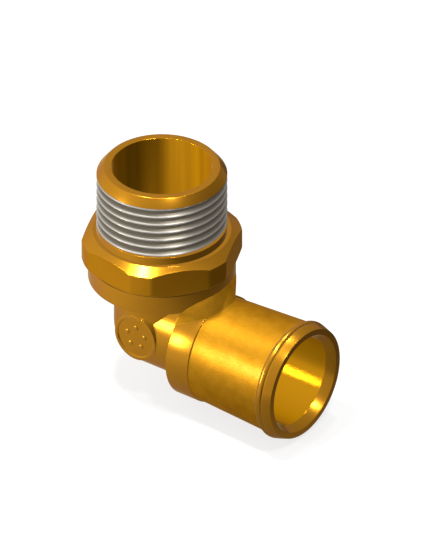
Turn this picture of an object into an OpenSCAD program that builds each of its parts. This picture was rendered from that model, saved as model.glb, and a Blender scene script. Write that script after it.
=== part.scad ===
// Male threaded elbow for a hose: one brass casting with machined ends.
// The origin is on the thread axis, in the plane of the hexagon's top face.
// +Z runs up along the male thread and +X runs out along the hose outlet.

/* [Male thread] */
// Major diameter of the parallel pipe thread (G 1)
thread_d = 33.249; // [31:0.001:35]
// Pitch of the thread
thread_pitch = 2.309; // [2:0.001:3]
// Depth of the thread's groove
thread_depth = 1.479; // [1:0.001:1.6]
// Direction, as an angle from +X, in which the crest line starts at the hexagon's top face
thread_turn = -110; // [-180:1:180]
// Height of the plain shank between the hexagon and the thread
thread_shank_h = 2; // [1:0.1:4]
// Height of the plain lip between the thread and the end cone
thread_lip_h = 0.3; // [0.2:0.1:1]
// Height of the threaded end above the hexagon's top face
thread_reach = 19; // [14:0.5:40]
// Height of the cone at the end of the thread
thread_chamfer_h = 2.2; // [1:0.1:5]
// Outer diameter of the flat ring at the end of the thread
thread_face_d = 29.6; // [28:0.1:30]
// Diameter of the bore inside the thread
thread_bore_d = 25.6; // [20:0.1:26]
// Depth of that bore below the hexagon's top face
thread_bore_depth = 5.2; // [1:0.1:8]

/* [Hexagon] */
// Width across the flats
hex_af = 38; // [36:0.5:60]
// Height of the hexagon
hex_h = 7.2; // [5:0.1:8]
// Diameter to which the hexagon's corners are turned
hex_corner_d = 41; // [38.5:0.1:42]
// Diameter of the flat ring on the hexagon's top face
hex_seat_d = 35.2; // [34:0.1:37]
// Height of the cone that chamfers the top corners
hex_chamfer_h = 1.8; // [0.5:0.1:4]
// Height of the cone under the hexagon, from its corners down to the collar
hex_under_h = 1; // [0.5:0.1:2]
// Turn of the hexagon's corners from the outlet's direction
hex_turn = -8.8; // [-30:0.1:30]

/* [Collar] */
// Diameter of the round collar under the hexagon
collar_d = 37.6; // [35:0.1:38]
// Height of the collar
collar_h = 6.7; // [4:0.1:7.5]
// Chamfer of the collar's lower edge
collar_edge = 0.6; // [0.2:0.1:2]

/* [Elbow] */
// Distance from the hexagon's top face down to the outlet's axis
outlet_drop = 29.2; // [29:0.1:45]
// Outer diameter of the elbow's bend
elbow_d = 24.4; // [22:0.1:27]
// Height of the bend's centre above the outlet's axis
elbow_rise = 2.5; // [0:0.1:2.5]
// Diameter of the waterway through the bend
waterway_d = 16; // [10:0.1:16.5]
// Height of the cone from the thread's bore down to the waterway
bore_cone_h = 5; // [3:0.1:6]

/* [Marking boss] */
// Diameter of the round boss on the side of the bend
boss_d = 12.8; // [8:0.1:14]
// Distance of the boss's face from the middle plane
boss_reach = 12.8; // [12.3:0.1:16]
// Distance of the boss from the thread axis towards the outlet
boss_x = 1; // [0.5:0.1:3]
// Height of the boss above the bend's centre
boss_rise = 0.7; // [0.3:0.1:3]
// Height of the raised ring and pips on the boss
boss_relief = 0.4; // [0.2:0.1:1]
// Width of the raised ring round the boss
boss_ring_w = 0.9; // [0.5:0.1:1.5]
// Diameter of one raised pip
boss_pip_d = 1.6; // [1:0.1:2]
// Distance of the pips from the boss's centre
boss_pip_r = 2.8; // [2:0.1:3.5]
// Number of pips
boss_pips = 5; // [3:1:8]

/* [Root ring of the outlet] */
// Distance from the thread axis to the root ring
root_x = 11.65; // [10:0.05:12]
// Width of the root ring
root_w = 6.95; // [4:0.05:10]
// Diameter of the root ring
root_d = 28.4; // [28:0.1:30]

/* [Hose tail] */
// Diameter of the cast hose tail beside the root ring
tail_d = 27.7; // [26:0.1:28]
// Diameter of the cast hose tail beside the bead
tail_end_d = 29.9; // [28:0.1:30]
// Distance from the thread axis to the bead
bead_x = 40.7; // [30:0.1:80]
// Diameter over the bead
bead_d = 31.5; // [30.5:0.1:35]
// Width of the rounded bead
bead_w = 2; // [1.5:0.1:4]
// Width of the tapered land between the bead and the end face
land_w = 2.6; // [1:0.1:8]
// How far the tapered land starts below the bead's crest
bead_drop = 0.25; // [0.1:0.05:0.5]
// Outer diameter of the flat end face
end_face_d = 29.5; // [27:0.1:30]
// Inner diameter of the flat end face
mouth_d = 26.4; // [24.5:0.1:27]
// Depth of the chamfer inside the mouth
mouth_chamfer_h = 2.5; // [1:0.1:5]
// Diameter of the bore of the hose tail
outlet_bore_d = 23.8; // [18:0.1:24]
// Distance from the thread axis to the full bore of the hose tail
outlet_bore_x = 17; // [14:0.1:25]

/* [Saddle between collar and tail] */
// How far the saddle climbs up the collar's side
saddle_climb = 3.8; // [1:0.1:5]
// Reach of the saddle's foot beyond the collar
saddle_reach = 2.7; // [1:0.1:6]
// Angle that the saddle's foot spans to each side of the tail's top
saddle_spread = 52; // [35:1:60]
// Distance from the thread axis to the ends of the saddle's foot
saddle_end_x = 13.5; // [12.5:0.1:15]

/* [Hidden] */

// Overlap that joins neighbouring solids, and the overrun of a cut
joint = 0.5;
overrun = 1;
// How far the corner ball of a bend stands proud of its upright and neck
ball_swell = 0.05;
arc_steps = 10;
$fn = 96;

// The thread's facets in one turn, its root, inner wall and crest, its top and its whole turns
thread_columns = 48;
thread_root_r = thread_d / 2 - thread_depth;
thread_wall_r = thread_root_r - 0.5;
thread_crest_r = thread_d / 2 - 0.03;
thread_top = thread_reach - thread_chamfer_h - thread_lip_h;
thread_turns = ceil(thread_top / thread_pitch) + 1;

hex_bottom = -hex_h;
collar_bottom = hex_bottom - collar_h;
bend_z = elbow_rise - outlet_drop;
root_end = root_x + root_w;
outlet_end = bead_x + bead_w + land_w;
land_d = bead_d - 2 * bead_drop;
collar_r = collar_d / 2;

// Height of the collar's full width over the outlet's axis, and the saddle's size there
rim_h = outlet_drop - hex_h - collar_h + collar_edge;
saddle_r = rim_h + saddle_climb - collar_edge;
saddle_half_w = sqrt(pow(saddle_r, 2) - pow(rim_h, 2));
saddle_sink = 0.2;
knee = 0.1;

// Turns a body of revolution from +Z to the outlet's axis
module along_outlet() {
    translate([0, 0, -outlet_drop])
        rotate([0, 90, 0])
            children();
}

// Revolves an outline of [radius, distance] points about the outlet's axis
module turned_on_outlet(outline) {
    along_outlet()
        rotate_extrude()
            polygon(outline);
}

// Height of a point of the thread's flanks: four to a turn, at the crest's and the root's edges
function flank_z(a, k) =
    let (turn = floor(k / 4) + [-1, 1, 5, 7][k % 4] / 12)
    thread_pitch * (turn - 1 + (a - thread_turn) / 360 - ceil(-thread_turn / 360));

function thread_flank(a, k) =
    let (r = k % 4 < 2 ? thread_crest_r : thread_root_r)
    [r * cos(a), r * sin(a), flank_z(a, k)];

function thread_wall(a, t) = [thread_wall_r * cos(a), thread_wall_r * sin(a), flank_z(a, 4 * t)];

// Thread as one closed sleeve, whose two ends run out as ramps with a step where a turn closes
module thread_sleeve() {
    rows = 4 * thread_turns;
    column = rows + 5;
    wall_column = thread_turns + 2;
    first_wall = thread_columns * column;
    turn_step = 360 / thread_columns;
    flanks = [for (i = [0 : thread_columns - 1], k = [0 : rows + 4]) thread_flank(i * turn_step, k)];
    wall = [for (i = [0 : thread_columns - 1], t = [0 : thread_turns + 1]) thread_wall(i * turn_step, t)];
    function at(i, k) = i < thread_columns ? i * column + k : k + 4;
    function inside(i, t) = first_wall + (i < thread_columns ? i * wall_column + t : t + 1);
    function closing_step(k, t) = [
        [at(0, k + 1), at(0, k), inside(0, t)],
        [at(0, k + 2), at(0, k + 1), inside(0, t)],
        [at(0, k + 3), at(0, k + 2), inside(0, t)],
        [at(0, k + 4), at(0, k + 3), inside(0, t + 1)],
        [at(0, k + 3), inside(0, t), inside(0, t + 1)]
    ];
    flank_faces = [
        for (i = [0 : thread_columns - 1], k = [0 : rows - 1])
            each [
                [at(i, k), at(i, k + 1), at(i + 1, k + 1)],
                [at(i, k), at(i + 1, k + 1), at(i + 1, k)]
            ]
    ];
    wall_faces = [
        for (i = [0 : thread_columns - 1], t = [0 : thread_turns - 1])
            [inside(i, t), inside(i + 1, t), inside(i + 1, t + 1), inside(i, t + 1)]
    ];
    ramp_faces = [
        for (i = [0 : thread_columns - 1])
            each [
                [at(i, 0), at(i + 1, 0), inside(i + 1, 0)],
                [at(i, 0), inside(i + 1, 0), inside(i, 0)],
                [at(i + 1, rows), at(i, rows), inside(i, thread_turns)],
                [at(i + 1, rows), inside(i, thread_turns), inside(i + 1, thread_turns)]
            ]
    ];
    top_step = [for (f = closing_step(rows, thread_turns)) [f[2], f[1], f[0]]];
    polyhedron(
        concat(flanks, wall),
        concat(flank_faces, wall_faces, ramp_faces, closing_step(0, 0), top_step)
    );
}

// Male thread between its plain shank and lip, with the end cone
module male_thread() {
    cone_z = thread_reach - thread_chamfer_h;
    sleeve_z = thread_shank_h - joint;
    root_sink = 0.2;
    intersection() {
        thread_sleeve();
        translate([0, 0, sleeve_z])
            cylinder(d = thread_d + 2 * overrun, h = thread_top + thread_lip_h / 2 - sleeve_z);
    }
    translate([0, 0, -joint]) {
        cylinder(r = thread_root_r - root_sink, h = cone_z + joint);
        cylinder(d = thread_d, h = thread_shank_h + joint);
    }
    translate([0, 0, thread_top])
        cylinder(d = thread_d, h = thread_lip_h);
    translate([0, 0, cone_z])
        cylinder(d1 = thread_d, d2 = thread_face_d, h = thread_chamfer_h);
}

// Hexagon with turned corners, a coned top edge and a cone down to the collar
module hexagon() {
    hex_corner_r = hex_af / 2 / cos(30);
    top_slope = (hex_corner_d - hex_seat_d) / hex_chamfer_h;
    under_slope = (hex_corner_d - collar_d) / hex_under_h;
    collar_sink = 0.2;
    full_h = hex_h + hex_under_h + collar_sink;
    under_d = collar_d - under_slope * collar_sink;
    translate([0, 0, -full_h])
        intersection() {
            rotate([0, 0, hex_turn])
                cylinder(r = hex_corner_r, h = full_h, $fn = 6);
            cylinder(d = hex_corner_d, h = full_h);
            cylinder(d1 = hex_seat_d + top_slope * full_h, d2 = hex_seat_d, h = full_h);
            cylinder(d1 = under_d, d2 = under_d + under_slope * full_h, h = full_h);
        }
}

// Round collar under the hexagon
module collar() {
    edge_z = collar_bottom + collar_edge;
    translate([0, 0, edge_z])
        cylinder(d = collar_d, h = -edge_z - hex_h + joint);
    translate([0, 0, collar_bottom])
        cylinder(d1 = collar_d - 2 * collar_edge, d2 = collar_d, h = collar_edge);
}

// Solid bend of one diameter: an upright and a neck that grow out of a corner ball
module bend(d, top, reach) {
    translate([0, 0, bend_z]) {
        sphere(d = d + 2 * ball_swell);
        translate([0, 0, joint])
            cylinder(d = d, h = top - bend_z - joint);
        rotate([0, 90, 0])
            translate([0, 0, joint])
                cylinder(d = d, h = reach - joint);
    }
}

// Round boss with a raised ring and pips, facing -Y
module marking_boss() {
    boss_root = elbow_d / 4;
    dish_h = boss_reach - boss_relief;
    translate([boss_x, 0, bend_z + boss_rise])
        rotate([90, 0, 0]) {
            difference() {
                translate([0, 0, boss_root])
                    cylinder(d = boss_d, h = boss_reach - boss_root);
                translate([0, 0, dish_h])
                    cylinder(d = boss_d - 2 * boss_ring_w, h = boss_relief + overrun);
            }
            for (i = [0 : boss_pips - 1])
                rotate([0, 0, i * 360 / boss_pips])
                    translate([0, boss_pip_r, dish_h - joint])
                        cylinder(d = boss_pip_d, h = boss_relief + joint);
        }
}

// Points of the bead's rounded crest, from the tail to the land
function bead_arc() = [
    for (i = [0 : arc_steps])
        let (t = i / arc_steps, swell = sin(180 * pow(t, 0.8)))
        let (base = (1 - t) * tail_end_d / 2 + t * land_d / 2)
        [base + (bead_d / 2 - (tail_end_d + land_d) / 4) * swell, bead_x + t * bead_w]
];

// Root ring, tapered hose tail, bead and land as one turned solid
module hose_tail() {
    turned_on_outlet(concat(
        [[0, root_x], [root_d / 2, root_x], [root_d / 2, root_end], [tail_d / 2, root_end]],
        bead_arc(),
        [[end_face_d / 2, outlet_end], [0, outlet_end]]
    ));
}

// Points across the saddle: s runs from -1 to 1, and heights count from the outlet's axis
function saddle_top(s) =
    let (y = s * saddle_half_w)
    [sqrt(pow(collar_r - saddle_sink, 2) - y * y), y, sqrt(pow(saddle_r, 2) - y * y)];

function saddle_foot(s) =
    let (r = tail_d / 2 - saddle_sink, a = s * saddle_spread)
    let (x = saddle_end_x + (collar_r + saddle_reach - saddle_end_x) * (1 - pow(abs(s), 1.5)))
    [x, r * sin(a), r * cos(a)];

// Inner corner of the curve from the saddle's top to its foot
function saddle_knee(p, q) = [mix(p.x, q.x, knee), mix(p.y, q.y, 0.5), mix(q.z, p.z, knee)];

function mix(a, b, t) = (1 - t) * a + t * b;

function bezier(p, c, q, t) = mix(mix(p, c, t), mix(c, q, t), t);

// Concave saddle between the collar's side and the top of the hose tail
module saddle() {
    rows = 16;
    cols = 6;
    last = rows * (cols + 1);
    inner_top = (rows + 1) * (cols + 1);
    inner_foot = inner_top + 1;
    skin = [
        for (i = [0 : rows])
            let (s = 2 * i / rows - 1, p = saddle_top(s), q = saddle_foot(s), c = saddle_knee(p, q))
            for (j = [0 : cols])
                bezier(p, c, q, j / cols)
    ];
    core = [[root_x / 2, 0, rim_h + collar_h / 2], [root_x / 2, 0, elbow_rise]];
    skin_faces = [
        for (i = [0 : rows - 1], j = [0 : cols - 1])
            let (k = i * (cols + 1) + j, n = k + cols + 1)
            each [[k, n, n + 1], [k, n + 1, k + 1]]
    ];
    edge_faces = [
        for (i = [0 : rows - 1])
            let (k = i * (cols + 1), n = k + cols + 1)
            each [[n, k, inner_top], [k + cols, n + cols, inner_foot]]
    ];
    end_faces = [
        for (j = [0 : cols - 1])
            each [[j, j + 1, inner_foot], [last + j + 1, last + j, inner_foot]]
    ];
    closing_faces = [[0, inner_foot, inner_top], [last, inner_top, inner_foot]];
    translate([0, 0, -outlet_drop])
        polyhedron(concat(skin, core), concat(skin_faces, edge_faces, end_faces, closing_faces));
}

// Waterway: the thread's bore, the bend and the hose tail's bore
module waterway() {
    bore_floor = -thread_bore_depth;
    cone_floor = bore_floor - bore_cone_h;
    translate([0, 0, bore_floor])
        cylinder(d = thread_bore_d, h = thread_reach + overrun - bore_floor);
    translate([0, 0, cone_floor])
        cylinder(d1 = waterway_d, d2 = thread_bore_d, h = bore_cone_h);
    bend(waterway_d, cone_floor + joint, outlet_bore_x);
    chamfer_x = outlet_end - mouth_chamfer_h;
    turned_on_outlet([
        [0, outlet_bore_x],
        [outlet_bore_d / 2, outlet_bore_x],
        [outlet_bore_d / 2, chamfer_x],
        [mouth_d / 2, outlet_end],
        [mouth_d / 2, outlet_end + overrun],
        [0, outlet_end + overrun]
    ]);
}

module elbow_body() {
    color("goldenrod")
        difference() {
            union() {
                male_thread();
                hexagon();
                collar();
                bend(elbow_d, collar_bottom + joint, root_x + joint);
                marking_boss();
                hose_tail();
                saddle();
            }
            waterway();
        }
}

elbow_body();
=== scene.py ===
"""Looks of a male threaded elbow: one brass casting with machined ends.

Lengths in the classes are millimetres in the part's frame: the origin is on the thread axis in
the plane of the hexagon's top face, +Z runs along the thread and +X along the hose tail. Only
the studio's own sizes are metres.
"""
import logging
import math
from dataclasses import dataclass, field
from enum import Enum

import bmesh
import bpy
import numpy as np
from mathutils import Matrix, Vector


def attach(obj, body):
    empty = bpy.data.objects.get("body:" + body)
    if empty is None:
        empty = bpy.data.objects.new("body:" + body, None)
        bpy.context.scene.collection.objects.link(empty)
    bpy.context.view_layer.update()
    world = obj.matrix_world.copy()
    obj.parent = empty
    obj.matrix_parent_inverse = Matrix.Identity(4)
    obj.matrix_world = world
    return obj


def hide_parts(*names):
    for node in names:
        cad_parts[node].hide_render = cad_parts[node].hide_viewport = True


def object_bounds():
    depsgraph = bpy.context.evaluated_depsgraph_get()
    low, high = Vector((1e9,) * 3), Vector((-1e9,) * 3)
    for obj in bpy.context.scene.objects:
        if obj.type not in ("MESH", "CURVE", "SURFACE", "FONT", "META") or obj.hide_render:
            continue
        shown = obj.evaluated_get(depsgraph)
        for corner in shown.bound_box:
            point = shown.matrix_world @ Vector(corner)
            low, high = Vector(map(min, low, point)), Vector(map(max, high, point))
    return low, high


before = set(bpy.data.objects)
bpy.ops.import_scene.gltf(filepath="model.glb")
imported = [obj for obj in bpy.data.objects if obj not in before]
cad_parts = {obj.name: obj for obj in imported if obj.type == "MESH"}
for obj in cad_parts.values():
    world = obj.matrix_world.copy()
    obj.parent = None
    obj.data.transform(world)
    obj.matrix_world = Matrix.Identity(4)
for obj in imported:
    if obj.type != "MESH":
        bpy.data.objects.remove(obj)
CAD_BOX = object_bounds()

log = logging.getLogger("elbow")

MM = 0.001
NODE = "elbow_body"
BODY = "root"
MERGE_DISTANCE = 1e-6

# Sizes that several sub-parts share, in millimetres.
OUTLET_DROP = 29.2
COLLAR_R = 18.8
WATERWAY_R = 8.0
ROOT_R = 14.2
ROOT_END = 18.6
TAIL_R = 13.85

Point = tuple[float, float]
Triple = tuple[float, float, float]


class Axis(Enum):
    """The line that a turned form is revolved about."""

    THREAD = "thread"
    OUTLET = "outlet"


class Finish(Enum):
    """The surface finishes of the casting, in the order of the piece's material slots."""

    TURNED = 0
    MILLED = 1
    THREAD = 2
    CAST = 3
    BORED = 4
    # painted light: the outlet's bore is given a paler brass than the outside
    SATIN_PAINTED_LIGHT = 5
    # painted shade: the dark line on the collar just under the hexagon
    PAINTED_SHADE = 6


Corner = tuple[float, float, Finish, float]


class Sock:
    """A node's output: Python arithmetic on it adds Math nodes to the same tree."""

    def __init__(self, graph: "NodeGraph", out: bpy.types.NodeSocket) -> None:
        """Keeps the graph and the output socket that the value comes from."""
        self.graph = graph
        self.out = out

    def _op(self, kind: str, *values: "Sock | float") -> "Sock":
        """Adds one Math node of that operation on the values."""
        return self.graph.add("ShaderNodeMath", {"operation": kind}, dict(enumerate(values)))

    def __add__(self, other: "Sock | float") -> "Sock":
        """Sum."""
        return self._op("ADD", self, other)

    def __sub__(self, other: "Sock | float") -> "Sock":
        """Difference."""
        return self._op("SUBTRACT", self, other)

    def __rsub__(self, other: float) -> "Sock":
        """Difference from a number."""
        return self._op("SUBTRACT", other, self)

    def __mul__(self, other: "Sock | float") -> "Sock":
        """Product."""
        return self._op("MULTIPLY", self, other)

    def __truediv__(self, other: "Sock | float") -> "Sock":
        """Quotient."""
        return self._op("DIVIDE", self, other)

    def sine(self) -> "Sock":
        """The value's sine."""
        return self._op("SINE", self)

    def cosine(self) -> "Sock":
        """The value's cosine."""
        return self._op("COSINE", self)

    def absolute(self) -> "Sock":
        """The value without its sign."""
        return self._op("ABSOLUTE", self)

    def fraction(self) -> "Sock":
        """What the value is above the whole number below it."""
        return self._op("FRACT", self)

    def power(self, exponent: float) -> "Sock":
        """The value raised to a power."""
        return self._op("POWER", self, exponent)

    def larger(self, other: "Sock | float") -> "Sock":
        """The larger of two values."""
        return self._op("MAXIMUM", self, other)

    def near(self, other: float, margin: float = 0.1) -> "Sock":
        """1 where the value lies within the margin of a number, and 0 elsewhere."""
        return self._op("COMPARE", self, other, margin)

    def clamp(self) -> "Sock":
        """The value kept between 0 and 1."""
        return self._op("MINIMUM", self.larger(0.0), 1.0)

    __radd__ = __add__


class NodeGraph:
    """A node tree that is written as Python expressions."""

    def __init__(self, tree: bpy.types.NodeTree) -> None:
        """Keeps the tree that the nodes go into."""
        self.tree = tree

    def add(self, kind: str, settings: dict, values: dict, output: str | int = 0) -> Sock:
        """Adds a node.

        Args:
            kind: the node's type name.
            settings: attributes that are set first.
            values: socket name or number to a number, a tuple or a Sock.
            output: which output to hand back.

        Returns:
            The chosen output as a Sock.
        """
        node = self.tree.nodes.new(kind)
        for key, value in settings.items():
            setattr(node, key, value)
        for key, value in values.items():
            self.feed(node.inputs[key], value)
        return Sock(self, node.outputs[output])

    def feed(self, socket: bpy.types.NodeSocket, value: "Sock | float | tuple") -> None:
        """Links a Sock to a socket, or writes a plain value on it.

        Args:
            socket: the input that takes the value.
            value: a Sock of this tree, a number or a tuple.
        """
        if isinstance(value, Sock):
            self.tree.links.new(value.out, socket)
        else:
            socket.default_value = value


class ShaderGraph(NodeGraph):
    """A material's node tree with its Principled shader."""

    def __init__(self, name: str) -> None:
        """Makes a material that holds only a Principled shader.

        Args:
            name: the material's name.
        """
        self.material = bpy.data.materials.new(name)
        self.material.use_nodes = True
        super().__init__(self.material.node_tree)
        self.tree.nodes.clear()
        self.output = self.tree.nodes.new("ShaderNodeOutputMaterial")
        self.shader = self.tree.nodes.new("ShaderNodeBsdfPrincipled")
        self.surface(Sock(self, self.shader.outputs[0]))

    def surface(self, shade: Sock) -> None:
        """Makes a shader the material's surface."""
        self.feed(self.output.inputs["Surface"], shade)

    def place(self) -> Sock:
        """The place on the object, in metres."""
        return self.add("ShaderNodeTexCoord", {}, {}, "Object")

    def stretched(self, factors: Triple) -> Sock:
        """The place with each of its coordinates multiplied."""
        return self.add("ShaderNodeVectorMath", {"operation": "MULTIPLY"},
                        {0: self.place(), 1: factors})

    def distance_along(self, direction: Triple | Vector) -> Sock:
        """The place's distance along a direction, in metres."""
        return self.add("ShaderNodeVectorMath", {"operation": "DOT_PRODUCT"},
                        {0: self.place(), 1: direction}, "Value")

    def noise(self, cell: float, detail: float, place: Sock | None = None) -> Sock:
        """Soft noise from 0 to 1, with cells of a size in millimetres."""
        values = {"Vector": place or self.place(), "Scale": 1 / (cell * MM), "Detail": detail}
        return self.add("ShaderNodeTexNoise", {}, values, "Fac")

    def mix(self, amount: Sock, low: Triple, high: Triple) -> Sock:
        """A colour between two, by an amount from 0 to 1; 6 and 7 are the Mix node's colours."""
        values = {0: amount, 6: (*low, 1.0), 7: (*high, 1.0)}
        return self.add("ShaderNodeMix", {"data_type": "RGBA"}, values, 2)

    def bump(self, height: Sock, depth: float) -> None:
        """Feeds a height from 0 to 1 into the shader's normal, with a depth in millimetres."""
        values = {"Height": height, "Distance": depth * MM, "Strength": 1.0}
        self.feed(self.shader.inputs["Normal"], self.add("ShaderNodeBump", {}, values, "Normal"))

    def set(self, name: str, value: float | tuple) -> None:
        """Writes a value that is the same all over the surface on the shader's own socket."""
        self.shader.inputs[name].default_value = value


@dataclass(frozen=True)
class MetalFinish:
    """A metal surface: two tones mixed by noise, with rough patches and a fine grain.

    The sizes of patches, grain and rings are in millimetres, and their depths as well.
    """

    name: str
    low: Triple
    high: Triple
    roughness: float
    roughness_spread: float
    patch: float
    grain: float
    grain_depth: float = 0.0
    metallic: float = 1.0
    coat: float = 0.25
    coat_roughness: float = 0.22
    edge_tint: Triple = (0.72, 0.50, 0.12)
    stretch: Triple = (1.0, 1.0, 1.0)
    contrast: float = 2.2
    rings_along: Triple | None = None
    ring_pitch: float = 0.35
    ring_depth: float = 0.006
    ring_wobble: float = 3.0

    def build(self) -> bpy.types.Material:
        """Makes the material; turned rings are waves along one direction.

        Returns:
            The finished material.
        """
        graph = ShaderGraph(self.name)
        patches = graph.noise(self.patch, 3.0, graph.stretched(self.stretch))
        grain = graph.noise(self.grain, 2.0)
        tone = ((patches - 0.5) * self.contrast + 0.5).clamp()
        graph.feed(graph.shader.inputs["Base Color"], graph.mix(tone, self.low, self.high))
        rough = self.roughness + (grain - 0.5) * self.roughness_spread
        graph.feed(graph.shader.inputs["Roughness"], rough)
        graph.set("Metallic", self.metallic)
        graph.set("Specular Tint", (*self.edge_tint, 1.0))
        graph.set("Coat Weight", self.coat)
        graph.set("Coat Roughness", self.coat_roughness)
        if self.rings_along is None:
            graph.bump(grain, self.grain_depth)
            return graph.material
        turns = graph.distance_along(self.rings_along) * (2 * math.pi / (self.ring_pitch * MM))
        wave = (turns + grain * self.ring_wobble).sine()
        graph.bump(wave * 0.5 + 0.5, self.ring_depth)
        return graph.material


@dataclass(frozen=True)
class ThreadFinish:
    """The grey cut thread: crests painted paler as a painted highlight, roots painted darker and
    warmer as painted shade.
    """

    name: str
    root_r: float
    crest_r: float
    root: Triple
    crest: Triple
    roughness: float
    metallic: float
    crest_highlight_sharpness: float = 5.0

    def build(self) -> bpy.types.Material:
        """Makes the material, with the tone taken from the distance to the thread's axis.

        Returns:
            The finished material.
        """
        graph = ShaderGraph(self.name)
        radius = graph.add("ShaderNodeVectorMath", {"operation": "LENGTH"},
                           {0: graph.stretched((1, 1, 0))}, "Value")
        # painted highlight and shade: the colour runs from dark roots to pale crests by the
        # distance from the axis, standing in for light on the crests and shade in the roots
        share = (radius - self.root_r * MM) * (1 / ((self.crest_r - self.root_r) * MM))
        tone = share.clamp().power(self.crest_highlight_sharpness)
        graph.feed(graph.shader.inputs["Base Color"], graph.mix(tone, self.root, self.crest))
        graph.set("Roughness", self.roughness)
        graph.set("Metallic", self.metallic)
        return graph.material


FINISHES = {
    Finish.TURNED: MetalFinish(
        "turned_brass", low=(0.45, 0.190, 0.003), high=(0.49, 0.210, 0.005),
        roughness=0.25, roughness_spread=0.08, patch=9.0, grain=0.25, grain_depth=0.0015),
    Finish.MILLED: MetalFinish(
        "milled_brass", low=(0.44, 0.185, 0.003), high=(0.47, 0.200, 0.005),
        roughness=0.24, roughness_spread=0.08, patch=7.0, grain=0.3, grain_depth=0.002, coat=0.1),
    # painted highlight and shade: pale crests and dark, warm roots of the thread
    Finish.THREAD: ThreadFinish(
        "thread_grey", root_r=15.2, crest_r=16.5, root=(0.135, 0.115, 0.082),
        crest=(0.42, 0.39, 0.35), roughness=0.38, metallic=0.85),
    Finish.CAST: MetalFinish(
        "cast_brass", low=(0.42, 0.185, 0.006), high=(0.53, 0.24, 0.012),
        roughness=0.42, roughness_spread=0.16, patch=3.0, grain=0.45, grain_depth=0.04, coat=0.05),
    Finish.BORED: MetalFinish(
        "bored_brass", low=(0.34, 0.142, 0.002), high=(0.60, 0.258, 0.006),
        roughness=0.22, roughness_spread=0.06, patch=4.5, grain=0.3, coat=0.03,
        stretch=(1.0, 1.0, 0.03), rings_along=(0, 0, 1)),
    # painted light: a paler brass than the turned outside, so that the outlet's bore reads lit;
    # its rings along the bore are a real turned surface
    Finish.SATIN_PAINTED_LIGHT: MetalFinish(
        "satin_bore_painted_light", low=(0.52, 0.23, 0.004), high=(0.56, 0.25, 0.005),
        roughness=0.22, roughness_spread=0.06, patch=8.0, grain=0.3, coat=0.03,
        stretch=(0.03, 1.0, 1.0), rings_along=(1, 0, 0), ring_depth=0.004),
    # painted shade: near-black brass for the thin line under the hexagon, where shade falls in the
    # crevice
    Finish.PAINTED_SHADE: MetalFinish(
        "painted_shade_brass", low=(0.10, 0.045, 0.004), high=(0.14, 0.06, 0.005), roughness=0.5,
        roughness_spread=0.1, patch=3.0, grain=0.4, grain_depth=0.01, metallic=0.9, coat=0.0),
}
MATERIALS = {finish: look.build() for finish, look in FINISHES.items()}


def around(count: int) -> np.ndarray:
    """Angles that share out a full turn evenly, from 0."""
    return np.linspace(0, 2 * math.pi, count, endpoint=False)


def rounded(outline: list[Corner], steps: int = 4) -> list[tuple[float, float, Finish]]:
    """Rounds the corners of a closed outline.

    Args:
        outline: corners as (radius, distance, finish, rounding), where the finish is that of the
            stretch that starts there.
        steps: arc pieces for each rounded corner.

    Returns:
        Corners as (radius, distance, finish).
    """
    made = []
    count = len(outline)
    for i, (r, s, finish, size) in enumerate(outline):
        if size <= 0:
            made.append((r, s, finish))
            continue
        here = np.array((r, s))
        before = np.array(outline[i - 1][:2]) - here
        after = np.array(outline[(i + 1) % count][:2]) - here
        reach_in = here + before / np.linalg.norm(before) * size
        reach_out = here + after / np.linalg.norm(after) * size
        for t in np.linspace(0, 1, steps + 1):
            p = (1 - t) ** 2 * reach_in + 2 * t * (1 - t) * here + t ** 2 * reach_out
            made.append((p[0], p[1], finish))
    return made


class MeshMaker:
    """Collects vertices and faces in millimetres and turns them into one mesh."""

    def __init__(self, name: str) -> None:
        """Starts an empty mesh.

        Args:
            name: the name of the mesh and its object.
        """
        self.name = name
        self.points: list[np.ndarray] = []
        self.faces: list[tuple] = []
        self.finishes: list[int] = []

    def grid(self, points: np.ndarray, finishes: np.ndarray | Finish,
             wrap: tuple[bool, bool]) -> None:
        """Adds a grid of quads.

        Args:
            points: places of shape (rows, columns, 3); rows cross columns counter-clockwise
                when seen from outside.
            finishes: one finish, or one number for each row of quads.
            wrap: whether the rows and the columns close on themselves.
        """
        rows, cols, _ = points.shape
        start = sum(len(p) for p in self.points)
        self.points.append(points.reshape(-1, 3))
        if isinstance(finishes, Finish):
            finishes = np.full(rows, finishes.value)
        for i in range(rows if wrap[0] else rows - 1):
            a, b = start + i * cols, start + (i + 1) % rows * cols
            for j in range(cols if wrap[1] else cols - 1):
                k = (j + 1) % cols
                self.faces.append((a + j, b + j, b + k, a + k))
                self.finishes.append(int(finishes[i]))

    def fan(self, hub: np.ndarray, rim: np.ndarray, finish: Finish) -> None:
        """Adds triangles between one point and a closed rim.

        Args:
            hub: the point that all the triangles share.
            rim: places of shape (count, 3), in order round the rim.
            finish: the triangles' finish.
        """
        start = sum(len(p) for p in self.points)
        self.points += [hub.reshape(1, 3), rim]
        first, count = start + 1, len(rim)
        for k in range(count):
            self.faces.append((start, first + (k + 1) % count, first + k))
            self.finishes.append(finish.value)

    def build(self, sharp_angle: float = 30.0) -> bpy.types.Object:
        """Makes the object with smooth faces.

        Args:
            sharp_angle: the angle in degrees past which an edge is sharp.

        Returns:
            The object, linked to the scene.
        """
        mesh = bpy.data.meshes.new(self.name)
        places = np.concatenate(self.points) * MM
        mesh.from_pydata(places.tolist(), [], self.faces)
        for finish in Finish:
            mesh.materials.append(MATERIALS[finish])
        mesh.polygons.foreach_set("material_index", self.finishes)
        merge_doubles(mesh)
        mesh.shade_smooth()
        mesh.set_sharp_from_angle(angle=math.radians(sharp_angle))
        made = bpy.data.objects.new(self.name, mesh)
        bpy.context.scene.collection.objects.link(made)
        return made


def merge_doubles(mesh: bpy.types.Mesh) -> None:
    """Joins vertices at one place, which closes seams and poles.

    Args:
        mesh: the mesh that is changed.
    """
    work = bmesh.new()
    work.from_mesh(mesh)
    bmesh.ops.remove_doubles(work, verts=work.verts, dist=MERGE_DISTANCE)
    work.to_mesh(mesh)
    work.free()


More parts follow.
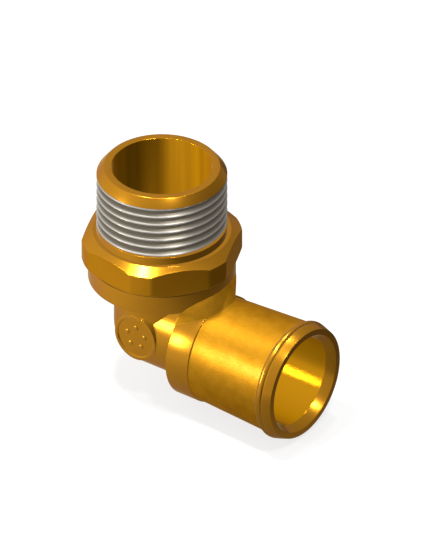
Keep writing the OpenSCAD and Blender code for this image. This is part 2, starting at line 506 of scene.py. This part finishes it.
@dataclass
class Turned:
    """A closed ring form: an outline revolved about one axis, with its bore."""

    name: str
    axis: Axis
    outline: list[Corner]
    segments: int = 256

    def build(self) -> bpy.types.Object:
        """Makes the turned mesh; the outline runs so that its left side is the metal.

        Returns:
            The turned object.
        """
        outline = rounded(self.outline)
        turn = around(self.segments)
        r = np.array([p[0] for p in outline])[:, None]
        s = np.array([p[1] for p in outline])[:, None] * np.ones_like(turn)
        if self.axis is Axis.THREAD:
            places = np.stack([r * np.cos(turn), r * np.sin(turn), s], axis=-1)
        else:
            places = np.stack([s, r * np.cos(turn), r * np.sin(turn) - OUTLET_DROP], axis=-1)
        finishes = np.array([p[2].value for p in outline])
        maker = MeshMaker(self.name)
        maker.grid(places[::-1], np.roll(finishes[::-1], -1), (True, True))
        return maker.build()


class FieldTree(NodeGraph):
    """Base of a Geometry Nodes tree with named inputs."""

    def __init__(self, name: str) -> None:
        """Makes an empty tree of that name."""
        super().__init__(bpy.data.node_groups.new(name, "GeometryNodeTree"))
        self.inputs = self.tree.nodes.new("NodeGroupInput")

    def named(self, name: str, kind: str = "NodeSocketFloat") -> Sock:
        """Adds a named input and hands back its value inside the tree."""
        self.tree.interface.new_socket(name, in_out="INPUT", socket_type=kind)
        return Sock(self, self.inputs.outputs[name])

    def finish(self, geometry: Sock, material: Sock) -> bpy.types.NodeTree:
        """Ends the tree with Realize Instances and Set Material.

        Args:
            geometry: what the tree has made.
            material: the material that it gets.

        Returns:
            The finished tree.
        """
        kind = "NodeSocketGeometry"
        self.tree.interface.new_socket("Geometry", in_out="OUTPUT", socket_type=kind)
        real = self.add("GeometryNodeRealizeInstances", {}, {"Geometry": geometry})
        dressed = self.add("GeometryNodeSetMaterial", {}, {"Geometry": real, "Material": material})
        end = self.tree.nodes.new("NodeGroupOutput")
        self.feed(end.inputs["Geometry"], dressed)
        return self.tree


class HelixTree(FieldTree):
    """A sleeve whose outer side is a right-hand helical thread."""

    rows: int = 150
    turns: int = 288
    crest_round: float = 0.1

    def build(self) -> bpy.types.NodeTree:
        """Makes the tree: a grid is wrapped round the axis and its rows follow the helix.

        The first and the last row lie on the sleeve's inner radius and close its ends.

        Returns:
            The finished tree.
        """
        crest_r, depth, pitch, bottom, top, crest_z, crest_turn, inner_r = (
            self.named(name) for name in ("Crest Radius", "Depth", "Pitch", "Bottom", "Top",
                                          "Crest Height", "Crest Turn", "Inner Radius"))
        material = self.named("Finish", "NodeSocketMaterial")
        last = float(self.rows + 2)
        grid = self.add("GeometryNodeMeshGrid", {}, {
            "Size X": 1.0, "Size Y": 1.0, "Vertices X": self.turns + 1,
            "Vertices Y": self.rows + 3}, "Mesh")
        place = self.add("GeometryNodeInputPosition", {}, {})
        across = self.add("ShaderNodeSeparateXYZ", {}, {0: place}, "X")
        along = self.add("ShaderNodeSeparateXYZ", {}, {0: place}, "Y")
        turn = (across + 0.5) * (2 * math.pi)
        row = (along + 0.5) * last
        z = bottom + ((row - 1.0) / float(self.rows)).clamp() * (top - bottom)
        phase = (z - crest_z) / pitch - (turn - crest_turn) / (2 * math.pi)
        flank = ((phase + 0.5).fraction() - 0.5).absolute() * 2.0
        groove = flank * flank * (1 + self.crest_round) / (flank + self.crest_round)
        inside = row.near(0.0).larger(row.near(last))
        radius = (crest_r - groove * depth) * (1.0 - inside) + inner_r * inside
        wrapped = self.add("ShaderNodeCombineXYZ", {}, {
            0: radius * turn.cosine(), 1: radius * turn.sine(), 2: z})
        moved = self.add("GeometryNodeSetPosition", {}, {"Geometry": grid, "Position": wrapped})
        closed = self.add("GeometryNodeMergeByDistance", {},
                          {"Geometry": moved, "Distance": MERGE_DISTANCE})
        return self.finish(closed, material)


def bake_tree(name: str, tree: bpy.types.NodeTree, values: dict) -> bpy.types.Object:
    """Runs a Geometry Nodes tree on an empty mesh.

    Args:
        name: the piece's name.
        tree: the tree, with named inputs.
        values: input name to value.

    Returns:
        A plain mesh object with the result, and no modifier.
    """
    carrier = bpy.data.objects.new(name + "_carrier", bpy.data.meshes.new(name + "_carrier"))
    bpy.context.scene.collection.objects.link(carrier)
    modifier = carrier.modifiers.new("tree", "NODES")
    modifier.node_group = tree
    for item in tree.interface.items_tree:
        if item.item_type == "SOCKET" and item.in_out == "INPUT":
            modifier[item.identifier] = values[item.name]
    bpy.context.view_layer.update()
    evaluated = carrier.evaluated_get(bpy.context.evaluated_depsgraph_get())
    baked = bpy.data.meshes.new_from_object(evaluated)
    baked.name = name
    bpy.data.objects.remove(carrier)
    made = bpy.data.objects.new(name, baked)
    bpy.context.scene.collection.objects.link(made)
    baked.shade_smooth()
    baked.set_sharp_from_angle(angle=math.radians(60))
    return made


@dataclass
class ThreadedEnd:
    """The male end: the gold blank with its shank, end cone and bore, and the grey thread."""

    major_r: float = 16.6245
    core_r: float = 14.9
    reach: float = 19.0
    cone_h: float = 2.2
    cone_inset: float = 0.02
    cone_lip: float = 0.05
    face_r: float = 14.8
    bore_r: float = 12.8
    bore_bottom: float = -5.2
    waterway_top: float = -10.2
    waterway_h: float = 1.3
    shank_h: float = 2.0
    hidden_z: float = -3.0
    hidden_wall: float = 1.0
    pitch: float = 2.309
    depth: float = 1.45
    crest_z: float = 9.6
    crest_turn: float = math.radians(-53.2)
    sleeve_wall: float = 0.6
    sleeve_gap: float = 0.03

    def blank(self) -> bpy.types.Object:
        """Makes the blank under the thread, with the bore down to the waterway.

        Returns:
            The blank.
        """
        cone_z = self.reach - self.cone_h
        foot_z = self.waterway_top - self.waterway_h
        hidden_r = self.core_r - self.hidden_wall
        lip_r = self.major_r - self.cone_inset
        turned, bored = Finish.TURNED, Finish.BORED
        return Turned("thread_blank", Axis.THREAD, [
            (self.major_r, self.hidden_z, turned, 0),
            (self.major_r, self.shank_h, turned, 0.12),
            (self.core_r, self.shank_h, turned, 0),
            (self.core_r, cone_z - self.cone_lip, turned, 0),
            (lip_r, cone_z - self.cone_lip, turned, 0),
            (lip_r, cone_z, turned, 0.03),
            (self.face_r, self.reach, turned, 0.14),
            (self.bore_r, self.reach, bored, 0.1),
            (self.bore_r, self.bore_bottom, bored, 0.2),
            (WATERWAY_R, self.waterway_top, turned, 0.2),
            (WATERWAY_R, foot_z, turned, 0),
            (hidden_r, foot_z, turned, 0),
            (hidden_r, self.hidden_z, turned, 0),
        ]).build()

    def thread(self) -> bpy.types.Object:
        """Makes the helical thread with a Geometry Nodes tree and bakes it to a plain mesh.

        Returns:
            The thread's sleeve.
        """
        top = self.reach - self.cone_h - self.sleeve_gap
        inner_r = self.core_r - self.sleeve_wall
        return bake_tree("male_thread", HelixTree("male_thread_helix").build(), {
            "Crest Radius": self.major_r * MM, "Depth": self.depth * MM,
            "Pitch": self.pitch * MM, "Bottom": self.shank_h * MM, "Top": top * MM,
            "Crest Height": self.crest_z * MM, "Crest Turn": self.crest_turn,
            "Inner Radius": inner_r * MM, "Finish": MATERIALS[Finish.THREAD]})


@dataclass
class Hexagon:
    """The spanner hexagon: flats, turned corners, a coned top edge and a flat seat."""

    across_flats: float = 38.0
    height: float = 7.2
    corner_r: float = 20.5
    seat_r: float = 17.6
    cone_h: float = 1.8
    turn: float = math.radians(-8.8)
    under_h: float = 1.0
    hidden_r: float = 15.5
    overlap: float = 0.1
    edge_w: float = 0.12
    samples: int = 24

    def outline(self) -> np.ndarray:
        """Walks round the hexagon, with exact points where the flats meet the corners.

        Returns:
            Angles and radii, of shape (count, 2).
        """
        flat = self.across_flats / 2
        edge = math.acos(flat / self.corner_r)
        sixth = math.pi / 3
        angles = []
        for k in range(6):
            middle = self.turn + sixth / 2 + k * sixth
            angles += list(middle + np.linspace(-edge, edge, self.samples, endpoint=False))
            angles += list(middle + np.linspace(edge, sixth - edge, self.samples // 2,
                                                endpoint=False))
        angles = np.array(angles)
        off = (angles - self.turn) % sixth - sixth / 2
        radii = np.minimum(flat / np.cos(off), self.corner_r)
        return np.stack([angles, radii], axis=-1)

    def build(self) -> bpy.types.Object:
        """Makes the hexagon as rings of one outline: seat, top cone, flats and underside cone.

        Returns:
            The hexagon, with a bevel on its edges.
        """
        angle, radius = self.outline().T
        top = -(radius - self.seat_r) * (self.cone_h / (self.corner_r - self.seat_r))
        fall = self.under_h / (self.corner_r - COLLAR_R)
        under = -self.height - (self.corner_r - radius) * fall
        foot = -self.height - self.under_h
        halfway = radius + 0.5 * (self.seat_r - radius)
        rings = [
            (self.hidden_r, 0.0), (self.seat_r, 0.0), (halfway, top * 0.5), (radius, top),
            (radius, under), (COLLAR_R - self.overlap, foot - self.overlap * fall),
            (self.hidden_r, foot - self.overlap)]
        ones = np.ones_like(angle)
        places = np.array([np.stack([r * ones * np.cos(angle), r * ones * np.sin(angle), z * ones],
                                    axis=-1) for r, z in rings])
        finishes = np.full(len(rings), Finish.TURNED.value)
        finishes[3] = Finish.MILLED.value
        maker = MeshMaker("hexagon")
        maker.grid(places, finishes, (True, True))
        made = maker.build(25.0)
        edge = made.modifiers.new("edge", "BEVEL")
        edge.limit_method = "ANGLE"
        edge.angle_limit = math.radians(25)
        edge.width = self.edge_w * MM
        edge.segments = 2
        edge.harden_normals = True
        return made


@dataclass
class Bend:
    """The bend: an upright and a neck of one diameter round a ball corner, with its waterway."""

    outer_r: float = 12.2
    centre_z: float = -26.7
    top_z: float = -11.5
    neck_x: float = 11.95
    ledge_x: float = 17.0
    ledge_r: float = 12.1
    ledge_start: float = 0.3
    segments: int = 192
    corner_steps: int = 48
    straight_steps: int = 13

    def shell(self, radius: float, end_x: float) -> np.ndarray:
        """Walks along a tube that turns the corner, from the top to the neck's end.

        Args:
            radius: the tube's radius.
            end_x: where the neck ends.

        Returns:
            The tube's rings, of shape (rings, segments, 3).
        """
        turn = around(self.segments)
        out = radius * np.cos(turn)
        side = radius * np.sin(turn)
        inner = np.maximum(out, 0.0)
        outer = np.minimum(out, 0.0)
        low = self.centre_z + inner
        straight = np.linspace(0, 1, self.straight_steps)
        rings = [np.stack([out, side, self.top_z + t * (low - self.top_z)], axis=-1)
                 for t in straight]
        for a in np.linspace(0, math.pi / 2, self.corner_steps)[1:]:
            x = inner + outer * math.cos(a)
            z = self.centre_z + inner + outer * math.sin(a)
            rings.append(np.stack([x, side, z], axis=-1))
        for t in straight[1:]:
            rings.append(np.stack([inner + t * (end_x - inner), side, self.centre_z + out],
                                  axis=-1))
        return np.array(rings)

    def build(self) -> bpy.types.Object:
        """Makes the closed bend: outer shell, hidden neck end, ledge and waterway.

        Returns:
            The bend.
        """
        outer = self.shell(self.outer_r, self.neck_x)
        inner = self.shell(WATERWAY_R, self.ledge_x)
        turn = around(self.segments)
        ledge = [np.stack([np.full(self.segments, x), self.ledge_r * np.sin(turn),
                           -OUTLET_DROP + self.ledge_r * np.cos(turn)], axis=-1)
                 for x in (self.neck_x + self.ledge_start, self.ledge_x)]
        maker = MeshMaker("bend")
        maker.grid(np.concatenate([outer, ledge, inner[::-1]]), Finish.TURNED, (True, True))
        return maker.build(25.0)


@dataclass
class MarkingBoss:
    """The round boss on the bend's side: a raised rim and a ring of plain pips."""

    x: float = 1.0
    z: float = -26.0
    radius: float = 6.4
    face: float = 12.8
    root: float = 6.0
    relief: float = 0.4
    rim_w: float = 0.9
    soft: float = 0.15
    middle: float = 0.001
    pips: int = 5
    pip_r: float = 0.8
    pip_ring: float = 2.8
    pip_sink: float = 0.05

    def dome(self, maker: MeshMaker, centre: Point, outline: list[Point], segments: int) -> None:
        """Adds a form revolved about the boss's direction, from its outer foot to its middle.

        Args:
            maker: the mesh that it is added to.
            centre: the form's middle in X and Z.
            outline: points as (radius, height).
            segments: the number of its sides.
        """
        turn = around(segments)
        rings = [np.stack([centre[0] + r * np.cos(turn), np.full(segments, -h),
                           centre[1] + r * np.sin(turn)], axis=-1) for r, h in outline]
        maker.grid(np.array(rings), Finish.TURNED, (False, True))

    def build(self) -> bpy.types.Object:
        """Makes the boss and its pips.

        Returns:
            The boss.
        """
        maker = MeshMaker("marking_boss")
        floor = self.face - self.relief
        lip = self.radius - self.rim_w
        soft, eased = self.soft, self.soft * 0.3
        self.dome(maker, (self.x, self.z), [
            (self.middle, self.root), (self.radius, self.root), (self.radius, self.face - soft),
            (self.radius - eased, self.face - eased), (self.radius - soft, self.face),
            (lip + soft, self.face), (lip, self.face - soft), (lip - soft, floor),
            (self.middle, floor)], 96)
        foot = floor - self.pip_sink
        rise = self.relief + self.pip_sink
        dome = [(self.middle, foot)]
        dome += [(self.pip_r * math.cos(t), foot + rise * math.sin(t))
                 for t in np.linspace(0, math.pi / 2 - 0.01, 7)]
        for k in range(self.pips):
            a = math.pi / 2 + 2 * math.pi * k / self.pips
            centre = (self.x + self.pip_ring * math.cos(a), self.z + self.pip_ring * math.sin(a))
            self.dome(maker, centre, dome, 32)
        return maker.build(40.0)


@dataclass
class HoseTail:
    """The outlet: root ring, rough cast tail, rounded bead, tapered land, end face and bore."""

    root_x: float = 11.65
    tail_end_r: float = 14.95
    bead_x: float = 40.7
    bead_w: float = 2.0
    bead_r: float = 15.75
    bead_steps: int = 15
    bead_lean: float = 0.8
    bead_dip: float = 0.2
    dip_share: float = 0.15
    land_r: float = 15.5
    end_x: float = 45.3
    face_r: float = 14.75
    mouth_r: float = 13.2
    chamfer_h: float = 2.5
    bore_r: float = 11.9

    def bead(self) -> list[Corner]:
        """Follows the bead's crest, which ends in a shallow dip before the land.

        Returns:
            Points of the outline, from the tail to the land.
        """
        points = []
        crest = self.bead_r - (self.tail_end_r + self.land_r) / 2
        for t in np.linspace(0, 1, self.bead_steps):
            base = (1 - t) * self.tail_end_r + t * self.land_r
            swell = crest * math.sin(math.pi * t ** self.bead_lean)
            dip = self.bead_dip * max(0.0, t - (1 - self.dip_share)) / self.dip_share
            points.append((base + swell - dip, self.bead_x + t * self.bead_w, Finish.TURNED, 0))
        return points

    def build(self) -> bpy.types.Object:
        """Makes the turned outlet.

        Returns:
            The outlet.
        """
        turned, cast = Finish.TURNED, Finish.CAST
        land_x = self.bead_x + self.bead_w
        return Turned("hose_tail", Axis.OUTLET, [
            (self.bore_r, self.root_x, turned, 0),
            (ROOT_R, self.root_x, turned, 0.2),
            (ROOT_R, ROOT_END, turned, 0.15),
            (TAIL_R, ROOT_END, cast, 0.12),
            *self.bead(),
            (self.land_r - 0.12, land_x + 0.12, turned, 0),
            (self.land_r - 0.05, land_x + 0.4, turned, 0),
            (self.face_r, self.end_x, turned, 0.12),
            (self.mouth_r, self.end_x, turned, 0.1),
            # painted light: the outlet's bore wall in the paler brass
            (self.bore_r, self.end_x - self.chamfer_h, Finish.SATIN_PAINTED_LIGHT, 0.15),
        ]).build()


@dataclass
class Saddle:
    """The cast blend that runs from the collar's side down onto the root of the outlet.

    Its upper edge lies on the collar's side and its lower edge on the outlet; between them the
    skin is a little hollow. Heights count from the outlet's axis.
    """

    collar_z: float = 15.3
    climb: float = 2.75
    spread: float = math.radians(39.0)
    arm_spread: float = math.radians(46.0)
    near_x: float = 11.75
    far_x: float = 21.0
    step_w: float = 0.8
    hollow: float = 0.2
    swell: float = 0.85
    bulge: float = 1.9
    lean: float = 0.2
    lean_h: float = 1.2
    proud: float = 0.01
    sink: float = 0.06
    tail_cover: float = 0.04
    hub: Triple = (10.5, 0.0, 10.0)
    samples: int = 121
    steps: int = 25

    def skin(self) -> np.ndarray:
        """Spans curved lines between the two edges.

        Returns:
            Places of shape (samples, steps, 3) with heights from the outlet's axis.
        """
        s = np.linspace(-1, 1, self.samples)
        turn = self.spread * s
        away = np.stack([np.cos(turn), np.sin(turn), 0 * turn], axis=-1)
        upper = (COLLAR_R + self.proud) * away
        upper[:, 2] = self.collar_z + self.climb * (1 - np.abs(s) ** 4)
        x = self.near_x + (self.far_x - self.near_x) * (1 - np.abs(s) ** 2.4)
        over_step = np.clip((x - ROOT_END) / self.step_w + 0.5, 0, 1)
        r = ROOT_R + (TAIL_R + self.tail_cover - ROOT_R) * over_step - self.sink
        roll = self.arm_spread * s
        lower = np.stack([x, r * np.sin(roll), r * np.cos(roll)], axis=-1)
        corner = np.stack([upper[:, 0], (upper[:, 1] + lower[:, 1]) / 2, lower[:, 2]], axis=-1)
        hollow = (self.hollow - self.swell * np.abs(s) ** 3)[:, None]
        middle = (upper + lower) / 2 * (1 - hollow) + corner * hollow
        middle = middle + away * (self.bulge * s ** 2)[:, None]
        t = np.linspace(0, 1, self.steps)[:, None]
        return np.array([(1 - t) ** 2 * start + 2 * t * (1 - t) * mid + t ** 2 * end
                         for start, mid, end in zip(lower, middle, upper)])

    def build(self) -> bpy.types.Object:
        """Makes the skin and closes it towards a point inside the metal.

        Returns:
            The saddle.
        """
        down = np.array([0, 0, OUTLET_DROP])
        skin = self.skin() - down
        rim = np.concatenate([skin[:, 0], skin[-1], skin[::-1, -1], skin[0, ::-1]])
        maker = MeshMaker("saddle")
        maker.grid(skin, Finish.CAST, (False, False))
        maker.fan(np.array(self.hub) - down, rim, Finish.CAST)
        made = maker.build(50.0)
        self.soften(made.data)
        return made

    def soften(self, mesh: bpy.types.Mesh) -> None:
        """Leans the skin's shading towards the outlet's round, as a cast blend runs into it.

        Args:
            mesh: the saddle's mesh, whose quads are the skin.
        """
        normals = [(0.0, 0.0, 0.0)] * len(mesh.loops)
        for face in mesh.polygons:
            if len(face.vertices) != 4:
                continue
            for loop, number in zip(face.loop_indices, face.vertices):
                vertex = mesh.vertices[number]
                place = vertex.co / MM
                out = Vector((0, place.y, place.z + OUTLET_DROP))
                share = (out.length - ROOT_R) / (self.climb + self.lean_h)
                lean = self.lean * min(max(share, 0), 1)
                normals[loop] = tuple(out.normalized().lerp(vertex.normal, lean).normalized())
        mesh.normals_split_custom_set(normals)


@dataclass
class Elbow:
    """The whole casting, built part by part and joined into one piece."""

    end: ThreadedEnd = field(default_factory=ThreadedEnd)
    hexagon: Hexagon = field(default_factory=Hexagon)
    bend: Bend = field(default_factory=Bend)
    boss: MarkingBoss = field(default_factory=MarkingBoss)
    tail: HoseTail = field(default_factory=HoseTail)
    saddle: Saddle = field(default_factory=Saddle)
    collar_bottom: float = -13.9
    collar_edge: float = 0.5
    collar_inner_r: float = 10.0
    collar_overlap: float = 0.3
    # top and height of the painted shade line under the hexagon
    line_z: float = -8.2
    line_h: float = 0.3

    def collar(self) -> bpy.types.Object:
        """Makes the round collar, with a dark line of painted shade under the hexagon.

        Returns:
            The collar.
        """
        turned = Finish.TURNED
        top = self.collar_overlap - self.hexagon.height
        return Turned("collar", Axis.THREAD, [
            (self.collar_inner_r, self.collar_bottom, turned, 0),
            (COLLAR_R, self.collar_bottom, turned, self.collar_edge),
            # painted shade: this short stretch under the hexagon gets the dark colour
            (COLLAR_R, self.line_z - self.line_h, Finish.PAINTED_SHADE, 0),
            (COLLAR_R, top, turned, 0),
            (self.collar_inner_r, top, turned, 0),
        ]).build()

    def build(self) -> bpy.types.Object:
        """Builds every sub-part and joins them.

        Returns:
            The one piece that stands for the casting.
        """
        makers = (self.end.blank, self.end.thread, self.hexagon.build, self.collar,
                  self.bend.build, self.boss.build, self.tail.build, self.saddle.build)
        parts = []
        for make in makers:
            made = make()
            apply_modifiers(made)
            log.info("%s: %d faces", made.name, len(made.data.polygons))
            parts.append(made)
        piece = parts[0]
        with bpy.context.temp_override(active_object=piece, object=piece, selected_objects=parts,
                                       selected_editable_objects=parts):
            bpy.ops.object.join()
        piece.name = piece.data.name = "elbow_casting"
        return piece


def apply_modifiers(made: bpy.types.Object) -> None:
    """Turns an object's modifiers into plain mesh.

    Args:
        made: the object that is changed.
    """
    if not made.modifiers:
        return
    evaluated = made.evaluated_get(bpy.context.evaluated_depsgraph_get())
    mesh = bpy.data.meshes.new_from_object(evaluated)
    made.modifiers.clear()
    made.data = mesh


@dataclass(frozen=True)
class Softbox:
    """A rectangular studio lamp, placed by its direction from the part.

    The direction is in degrees, and the distance and sizes are in metres.
    """

    name: str
    azimuth: float
    elevation: float
    distance: float
    width: float
    height: float
    watts: float

    def build(self, target: Vector) -> None:
        """Adds the lamp.

        Args:
            target: the place that it is aimed at.
        """
        lamp = bpy.data.lights.new(self.name, "AREA")
        lamp.shape = "RECTANGLE"
        lamp.size = self.width
        lamp.size_y = self.height
        lamp.energy = self.watts
        made = bpy.data.objects.new(self.name, lamp)
        a, e = math.radians(self.azimuth), math.radians(self.elevation)
        away = Vector((math.cos(a) * math.cos(e), math.sin(a) * math.cos(e), math.sin(e)))
        made.location = target + away * self.distance
        made.rotation_mode = "QUATERNION"
        made.rotation_quaternion = away.to_track_quat("Z", "Y")
        bpy.context.scene.collection.objects.link(made)


def level_square(name: str, half: float, height: float,
                 material: bpy.types.Material) -> bpy.types.Object:
    """Adds a level square to the studio, centred on the thread axis.

    Args:
        name: the square's name.
        half: half its side, in metres.
        height: its height, in metres.
        material: its material.

    Returns:
        The square.
    """
    mesh = bpy.data.meshes.new(name)
    corners = ((-half, -half), (half, -half), (half, half), (-half, half))
    mesh.from_pydata([(x, y, height) for x, y in corners], [], [(0, 1, 2, 3)])
    mesh.materials.append(material)
    square = bpy.data.objects.new(name, mesh)
    bpy.context.scene.collection.objects.link(square)
    return square


@dataclass
class ToneCard:
    """A studio card lying under the part, dark on one side and pale on the other.

    Only reflections show it. Its tone falls between two distances in metres, counted from the
    thread axis along the card's turn.
    """

    turn: float = math.radians(-153.0)
    dark_at: float = -0.07
    pale_at: float = 0.06
    dark: float = 0.16
    pale: float = 1.0
    half: float = 0.9

    def build(self, height: float) -> None:
        """Adds the card.

        Args:
            height: its height in metres.
        """
        graph = ShaderGraph("tone_card")
        across = graph.distance_along((math.cos(self.turn), math.sin(self.turn), 0))
        share = ((across - self.dark_at) * (1 / (self.pale_at - self.dark_at))).clamp()
        tone = graph.mix(share, (self.dark,) * 3, (self.pale,) * 3)
        graph.surface(graph.add("ShaderNodeEmission", {}, {"Color": tone, "Strength": 1.0}))
        card = level_square("tone_card", self.half, height, graph.material)
        card.visible_camera = card.visible_shadow = card.visible_diffuse = False


@dataclass
class Studio:
    """The camera at the photograph's angle, a pale floor and soft lamps.

    The distances of the camera and the sizes of the floor are in metres.
    """

    view_turn: float = math.radians(-53.23)
    view_rise: float = math.radians(33.46)
    pixels_per_mm: float = 3.948
    frame_px: Point = (430.0, 537.0)
    corner_px: Point = (161.9, 324.9)
    camera_distance: float = 0.6
    floor_half: float = 2.0
    floor_gap: float = 0.0002
    floor_tone: float = 0.85
    floor_roughness: float = 0.9
    floor_glow: float = 0.75
    world_level: float = 0.66
    world_tilt: float = 0.45
    world_turn: float = math.radians(-153.0)
    world_rise: float = 0.19
    lamps: tuple[Softbox, ...] = (
        Softbox("side_strip", -124.0, 17.0, 0.55, 0.05, 0.15, 1.1),
        Softbox("hexagon_lamp", -128.0, 75.0, 0.60, 0.045, 0.035, 2.4),
        Softbox("land_lamp", 100.0, 76.0, 0.60, 0.05, 0.04, 1.0),
        Softbox("mouth_lamp", -30.0, 62.0, 0.60, 0.055, 0.045, 1.2),
    )

    def axes(self) -> tuple[Vector, Vector, Vector]:
        """Works out the camera's directions.

        Returns:
            The directions to the right, up and towards the camera.
        """
        ct, st = math.cos(self.view_turn), math.sin(self.view_turn)
        ce, se = math.cos(self.view_rise), math.sin(self.view_rise)
        up = Vector((-ct * se, -st * se, ce))
        return Vector((-st, ct, 0)), up, Vector((ct * ce, st * ce, se))

    def camera(self) -> None:
        """Adds the parallel camera; the bend's corner lies at its pixel in the photograph."""
        right, up, back = self.axes()
        across = (self.frame_px[0] / 2 - self.corner_px[0]) / self.pixels_per_mm
        rise = (self.corner_px[1] - self.frame_px[1] / 2) / self.pixels_per_mm
        middle = Vector((0, 0, -OUTLET_DROP)) + across * right + rise * up
        lens = bpy.data.cameras.new("photo_camera")
        lens.type = "ORTHO"
        lens.ortho_scale = self.frame_px[1] / self.pixels_per_mm * MM
        camera = bpy.data.objects.new("photo_camera", lens)
        camera.location = middle * MM + back * self.camera_distance
        camera.rotation_mode = "QUATERNION"
        camera.rotation_quaternion = back.to_track_quat("Z", "Y")
        bpy.context.scene.collection.objects.link(camera)
        bpy.context.scene.camera = camera

    def floor(self) -> None:
        """Adds the pale floor just below the part, with the tone card on it."""
        graph = ShaderGraph("pale_floor")
        graph.set("Base Color", (*[self.floor_tone] * 3, 1))
        graph.set("Roughness", self.floor_roughness)
        seen, glossy, through = (
            graph.add("ShaderNodeLightPath", {}, {}, name)
            for name in ("Is Camera Ray", "Is Glossy Ray", "Is Transmission Ray"))
        glow = graph.add("ShaderNodeEmission", {}, {"Color": (1, 1, 1, 1), "Strength": 1.0})
        graph.surface(graph.add("ShaderNodeMixShader", {}, {
            0: (seen + glossy + through) * self.floor_glow,
            1: Sock(graph, graph.shader.outputs[0]), 2: glow}))
        low = CAD_BOX[0].z - self.floor_gap
        level_square("floor", self.floor_half, low, graph.material)
        ToneCard().build(low + self.floor_gap / 2)

    def world(self) -> None:
        """Sets a pale world, brighter towards one side and a little brighter above."""
        world = bpy.data.worlds.new("pale_room")
        world.use_nodes = True
        graph = NodeGraph(world.node_tree)
        shade = world.node_tree.nodes["Background"]
        lean = (self.world_tilt * math.cos(self.world_turn),
                self.world_tilt * math.sin(self.world_turn), self.world_rise)
        place = graph.add("ShaderNodeTexCoord", {}, {}, "Generated")
        side = graph.add("ShaderNodeVectorMath", {"operation": "DOT_PRODUCT"},
                         {0: place, 1: lean}, "Value")
        graph.feed(shade.inputs["Strength"], side + self.world_level)
        graph.feed(shade.inputs["Color"], (1, 1, 1, 1))
        bpy.context.scene.world = world

    def build(self) -> None:
        """Adds the camera, floor, world and lamps."""
        bpy.context.scene.view_settings.view_transform = "Standard"
        self.camera()
        self.floor()
        self.world()
        target = (CAD_BOX[0] + CAD_BOX[1]) / 2
        for lamp in self.lamps:
            lamp.build(target)


def main() -> None:
    """Builds the piece and the studio."""
    logging.basicConfig(level=logging.INFO, format="%(message)s")
    piece = Elbow().build()
    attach(piece, BODY)
    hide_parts(NODE)
    piece.visible_glossy = False
    log.info("%s: %d faces in all", piece.name, len(piece.data.polygons))
    Studio().build()


if __name__ == "__main__":
    main()
